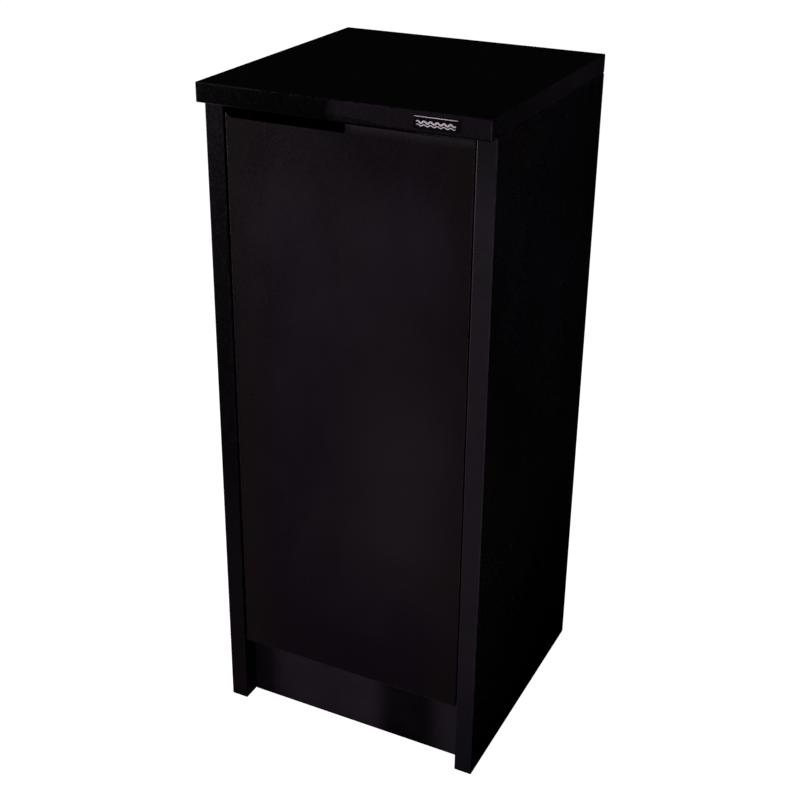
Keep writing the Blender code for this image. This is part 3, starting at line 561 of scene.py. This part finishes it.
raised = facing((0, -1, 0), (1, 0, 0), Vector((badge_middle.x, badge_high.y - badge_t * 0.66, badge_middle.z)))


def ribbon(bm, points, width, depth, matrix, taper=0.0):
    """A flat raised stripe along these points, with its two long edges softened and its ends narrowed."""
    count = len(points)
    rows = []
    for i, p in enumerate(points):
        before, after = Vector(points[max(i - 1, 0)]), Vector(points[min(i + 1, count - 1)])
        along = (after - before).normalized()
        across = Vector((-along.y, along.x))
        share = min(i, count - 1 - i) / (count - 1) * 2
        half = width / 2 * (1 - taper * (1 - min(1.0, share * 4)) ** 2)
        rows.append(
            [
                bm.verts.new(matrix @ Vector((p[0] + across.x * half * s, p[1] + across.y * half * s, h)))
                for s, h in ((-1, 0), (-1, depth * 0.6), (-0.72, depth), (0.72, depth), (1, depth * 0.6), (1, 0))
            ]
        )
    for a, b in zip(rows, rows[1:]):
        for k in range(6):
            j = (k + 1) % 6
            bm.faces.new((a[k], b[k], b[j], a[j]))
    bm.faces.new(list(reversed(rows[0])))
    bm.faces.new(rows[-1])


bm = bmesh.new()
waves = 6
for lift, amplitude, thick in ((0.35, 1.15, 2.1), (-3.15, 0.85, 1.3)):
    steps = 120
    points = []
    for i in range(steps + 1):
        t = i / steps
        points.append(((t - 0.5) * badge_w * 0.86, (lift + amplitude * math.sin(math.tau * waves * t)) * MM))
    ribbon(bm, points, thick * MM, badge_t * 0.30, raised, 0.6)
piece("badge_wave_pattern", bm, badge_print_material(), "carcass")
bm = bmesh.new()
line = [(-badge_w * 0.472 + badge_w * 0.944 * i / 12, badge_h * 0.5 - 1.05 * MM) for i in range(13)]
ribbon(bm, line, 0.95 * MM, badge_t * 0.30, raised, 0.4)
piece("badge_top_line", bm, bpy.data.materials["badge_silver"], "carcass")


# ---------------------------------------------------------------- hinge details
AXIS = Vector(frame["joints"][0]["pos_m"])
HINGES = {}
for label in ("lower", "upper"):
    low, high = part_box("hinge_arm_" + label)
    HINGES[label] = (low.z + high.z) / 2


def polar(radius, degrees, height, z=0.0):
    a = math.radians(degrees)
    return Vector((AXIS.x + radius * math.cos(a), AXIS.y + radius * math.sin(a), height + z))


def rivet(bm, at, out, radius, head):
    """A shallow riveted head with a dimple, its flat side at this point and its crown along out (+1 up, -1 down)."""
    matrix = Matrix.Translation(at) @ Matrix.Diagonal((1, 1, out, 1))
    turned(bm, [(radius, -0.05 * MM), (radius, head * 0.35), (radius * 0.82, head * 0.85), (radius * 0.52, head), (radius * 0.30, head * 0.70), (0, head * 0.62)], matrix, 20)


for label, height in HINGES.items():
    # Riveted pivots: the arm's end, and both ends of each link.
    bm = bmesh.new()
    for out in (1, -1):
        rivet(bm, polar(25.2 * MM, 146, height, out * 9.2 * MM), out, 2.3 * MM, 0.55 * MM)
    piece("hinge_arm_rivets_" + label, bm, SCREW_STEEL, "carcass")
    bm = bmesh.new()
    for out in (1, -1):
        for angle in (106, 150.5):
            rivet(bm, polar(24.35 * MM, angle, height, out * 6.9 * MM), out, 1.9 * MM, 0.28 * MM)
    piece("hinge_outer_link_rivets_" + label, bm, SCREW_STEEL, "hinge_outer_links")
    bm = bmesh.new()
    for out in (1, -1):
        for angle in (109, 153):
            rivet(bm, polar(23.45 * MM, angle, height, out * 4.6 * MM), out, 1.6 * MM, 0.20 * MM)
    for angle in (109, 153):
        at = polar(23.3 * MM, angle, height)
        turned(bm, [(0, -3.2 * MM), (1.15 * MM, -3.2 * MM), (1.15 * MM, 3.2 * MM), (0, 3.2 * MM)], Matrix.Translation(at), 16)
    piece("hinge_inner_link_rivets_" + label, bm, SCREW_STEEL, "hinge_inner_links")

# ---------------------------------------------------------------- studio
def soft_light(name, location, target, size, power, color=(1.0, 1.0, 1.0), size_y=None):
    data = bpy.data.lights.new(name, "AREA")
    data.shape = "RECTANGLE"
    data.size = size
    data.size_y = size_y or size
    data.energy = power
    data.color = color
    light = bpy.data.objects.new(name, data)
    light.location = location
    light.rotation_mode = "QUATERNION"
    light.rotation_quaternion = (Vector(target) - Vector(location)).to_track_quat("-Z", "Y")
    STUDIO.objects.link(light)
    return light


# The boxes on the left and in front stand lower than the top of the cabinet.
soft_light("front_box", (-3.3, -1.75, 0.48), (0.0, -0.2, 0.45), 2.0, 92.0, (1.0, 0.88, 0.99), 0.8)
soft_light("middle_box", (0.03, -3.4, 0.68), (0.0, -0.2, 0.45), 0.3, 7.0, (1.0, 0.90, 0.99), 0.4)
soft_light("high_box", (-1.5, -1.6, 2.9), (0.0, 0.0, 0.8), 0.9, 1.0)
soft_light("overhead_box", (-0.45, 0.85, 4.6), (0.0, 0.0, 0.9), 2.6, 13.0)

world = bpy.data.worlds.new("studio")
bpy.context.scene.world = world
world.use_nodes = True
tree = world.node_tree
background = tree.nodes["Background"]
path = tree.nodes.new("ShaderNodeLightPath")
shade = tree.nodes.new("ShaderNodeMix")
shade.data_type = "FLOAT"
tree.links.new(path.outputs["Is Camera Ray"], shade.inputs[0])
shade.inputs[2].default_value = 0.003
shade.inputs[3].default_value = 1.0
tree.links.new(shade.outputs[0], background.inputs["Strength"])
background.inputs["Color"].default_value = (1.0, 1.0, 1.0, 1.0)

# The floor is pale to the camera. What the gloss of the boards picks up from it is a set of soft bright fields in front,
# beside and behind, with dark studio floor between them.
floor_mesh = bpy.data.meshes.new("studio_floor")
R = 60.0
floor_mesh.from_pydata([(-R, -R, 0), (R, -R, 0), (R, R, 0), (-R, R, 0)], [], [(0, 1, 2, 3)])
floor = bpy.data.objects.new("studio_floor", floor_mesh)
floor.location.z = -0.0002
STUDIO.objects.link(floor)
f = Graph("pale_floor")
f.tree.nodes.remove(f.shader)
fx, fy, fz = f.xyz()
reach = f.math("SQRT", f.math("ADD", f.math("MULTIPLY", fx, fx), f.math("MULTIPLY", fy, fy)))


def field(ax, ay, half, soft, start, full):
    """1 inside a wedge of floor along this direction, 0 outside, fading in between two distances from the cabinet."""
    length = math.hypot(ax, ay)
    along = f.math("ADD", f.math("MULTIPLY", fx, ax / length), f.math("MULTIPLY", fy, ay / length))
    cosine = f.math("DIVIDE", along, f.math("MAXIMUM", reach, 0.01))
    wedge = f.span(cosine, math.cos(math.radians(half + soft)), math.cos(math.radians(half)))
    return f.math("MULTIPLY", wedge, f.span(reach, start, full))


front = f.math("MULTIPLY", field(-0.25, -1.0, 52, 14, 0.10, 0.20), f.span(f.math("MULTIPLY", fy, -1.0), 0.145, 0.170))
level = f.span(reach, 0.25, 1.2, 0.055, 0.045)
level = f.math("MULTIPLY", level, f.span(reach, 1.6, 3.4, 1.0, 0.72))
cut_off = f.math("MULTIPLY", f.span(f.math("DIVIDE", fx, f.math("MINIMUM", fy, -0.01)), 0.47, 0.56), f.span(reach, 2.3, 2.9))
level = f.math("MULTIPLY", level, f.span(cut_off, 0.0, 1.0, 1.0, 0.12, smooth=False))
front = f.math("MULTIPLY", front, level)
sides = f.math("ADD", f.math("MULTIPLY", field(1.0, -0.45, 32, 10, 0.45, 0.95), 2.2), f.math("MULTIPLY", field(-1.0, 0.15, 38, 10, 0.22, 0.5), 1.6))
sides = f.math("ADD", sides, f.math("MULTIPLY", field(-0.50, 1.0, 26, 6, 0.22, 0.5), 2.4))
path = f.new("ShaderNodeLightPath")
glow_front = f.new("ShaderNodeEmission")
glow_front.inputs["Color"].default_value = (1.0, 0.74, 1.06, 1.0)
f.put(front, glow_front.inputs["Strength"])
glow_sides = f.new("ShaderNodeEmission")
glow_sides.inputs["Color"].default_value = (1.0, 0.98, 1.0, 1.0)
f.put(f.math("MULTIPLY", sides, 0.34), glow_sides.inputs["Strength"])
dark = f.new("ShaderNodeAddShader")
f.tree.links.new(glow_front.outputs[0], dark.inputs[0])
f.tree.links.new(glow_sides.outputs[0], dark.inputs[1])
pale = f.new("ShaderNodeBsdfDiffuse")
pale.inputs["Color"].default_value = (0.82, 0.82, 0.82, 1.0)
glow = f.new("ShaderNodeEmission")
glow.inputs["Strength"].default_value = 1.0
seen = f.new("ShaderNodeAddShader")
f.tree.links.new(pale.outputs[0], seen.inputs[0])
f.tree.links.new(glow.outputs[0], seen.inputs[1])
choose = f.new("ShaderNodeMixShader")
f.tree.links.new(path.outputs["Is Camera Ray"], choose.inputs[0])
f.tree.links.new(dark.outputs[0], choose.inputs[1])
f.tree.links.new(seen.outputs[0], choose.inputs[2])
f.tree.links.new(choose.outputs[0], f.output.inputs["Surface"])
f.material.cycles.emission_sampling = "NONE"
floor_mesh.materials.append(f.material)

# ---------------------------------------------------------------- camera
AZIMUTH, ELEVATION, ROLL = (math.radians(a) for a in (26.63, 24.34, 0.39))
back = Vector((math.sin(AZIMUTH) * math.cos(ELEVATION), -math.cos(AZIMUTH) * math.cos(ELEVATION), math.sin(ELEVATION)))
right = Vector((math.cos(AZIMUTH), math.sin(AZIMUTH), 0.0))
up = back.cross(right)
right2 = right * math.cos(ROLL) + up * math.sin(ROLL)
up2 = up * math.cos(ROLL) - right * math.sin(ROLL)
camera_data = bpy.data.cameras.new("camera")
camera_data.sensor_width = 36.0
camera_data.lens = 60.534
camera_data.shift_x = 0.0239
camera_data.shift_y = -0.0590
camera = bpy.data.objects.new("camera", camera_data)
camera.matrix_world = Matrix.Translation((0.72665, -1.5246, 1.2894)) @ Matrix((right2, up2, back)).transposed().to_4x4()
STUDIO.objects.link(camera)
bpy.context.scene.camera = camera

bpy.context.scene.view_settings.view_transform = "Standard"
bpy.context.scene.view_settings.look = "None"
